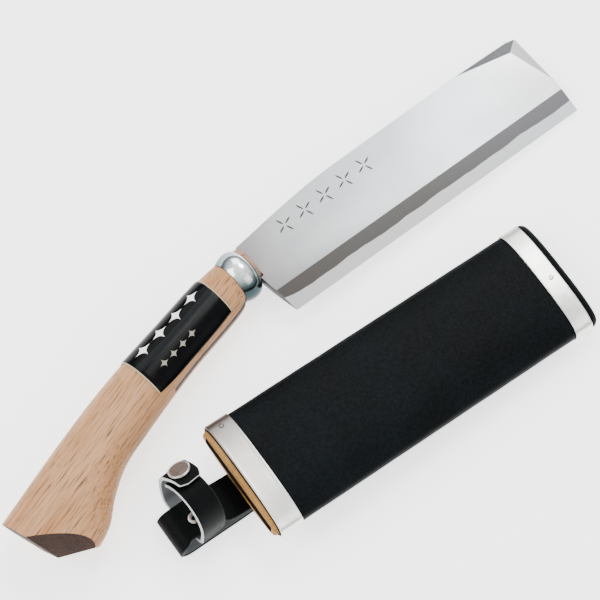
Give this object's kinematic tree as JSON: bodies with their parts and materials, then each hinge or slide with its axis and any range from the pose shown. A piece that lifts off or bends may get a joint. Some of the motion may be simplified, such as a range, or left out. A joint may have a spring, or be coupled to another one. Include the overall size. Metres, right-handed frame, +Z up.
{
  "type": "hatchet knife with sheath",
  "caption": "Double-bevel hatchet knife with a chrome-ferruled wooden grip, lying beside its leather-covered wooden sheath with metal bands, hanging loop and snap strap.",
  "frame": {"origin": "middle of the base of the knife and the sheath lying side by side", "axes": "+X along the cutting edge from butt to tip, +Y towards the spine, +Z up off the table"},
  "size_m": [0.358, 0.1472, 0.0462],
  "materials": {
    "forged_steel": "ground satin",
    "chrome": "polished",
    "oak": "smooth, unvarnished",
    "bamboo": "smooth",
    "label_film": "glossy printed film",
    "sheath_wood": "sanded, unvarnished",
    "black_leather": "finished, fine grain",
    "satin_steel": "satin",
    "nickel": "aged nickel plate"
  },
  "bodies": {
    "sheath": {"sheath_front_half": "sheath_wood", "sheath_back_half": "sheath_wood", "leather_cover": "black_leather", "mouth_band": "satin_steel", "end_band": "satin_steel", "end_cap": "black_leather", "mouth_nail_front": "satin_steel", "mouth_nail_back": "satin_steel", "end_nail_front": "satin_steel", "end_nail_back": "satin_steel", "loop_root_upper": "black_leather", "loop_root_lower": "black_leather", "loop_rivet_left": "nickel", "loop_rivet_right": "nickel"},
    "knife": {"blade": "forged_steel", "ferrule": "chrome", "handle": "oak", "tang_pin": "bamboo", "handle_label": "label_film"},
    "loop": {"hanging_loop": "black_leather", "strap_rivet": "nickel"},
    "strap": {"strap_base": "black_leather", "snap_stud": "nickel", "snap_post": "nickel"},
    "flap": {"strap_flap": "black_leather", "snap_cap": "nickel", "snap_socket": "nickel"}
  },
  "joints": [
    {"name": "knife_lift", "type": "slide", "parent": "sheath", "child": "knife", "axis": [0, 0, 1], "range_m": [0, 0.12]},
    {"name": "loop_flex", "type": "hinge", "parent": "sheath", "child": "loop", "pos_m": [-0.07997, -0.03207, 0.00835], "axis": [0.0494, 0.9988, 0], "range_deg": [0, 30]},
    {"name": "strap_swivel", "type": "hinge", "parent": "loop", "child": "strap", "pos_m": [-0.10444, -0.03086, 0.00955], "axis": [0, 0, 1], "range_deg": [-8, 3]},
    {"name": "flap_open", "type": "hinge", "parent": "strap", "child": "flap", "pos_m": [-0.10268, -0.01004, 0.02291], "axis": [-0.9934, -0.0637, 0.0958], "range_deg": [0, 95]}
  ]
}
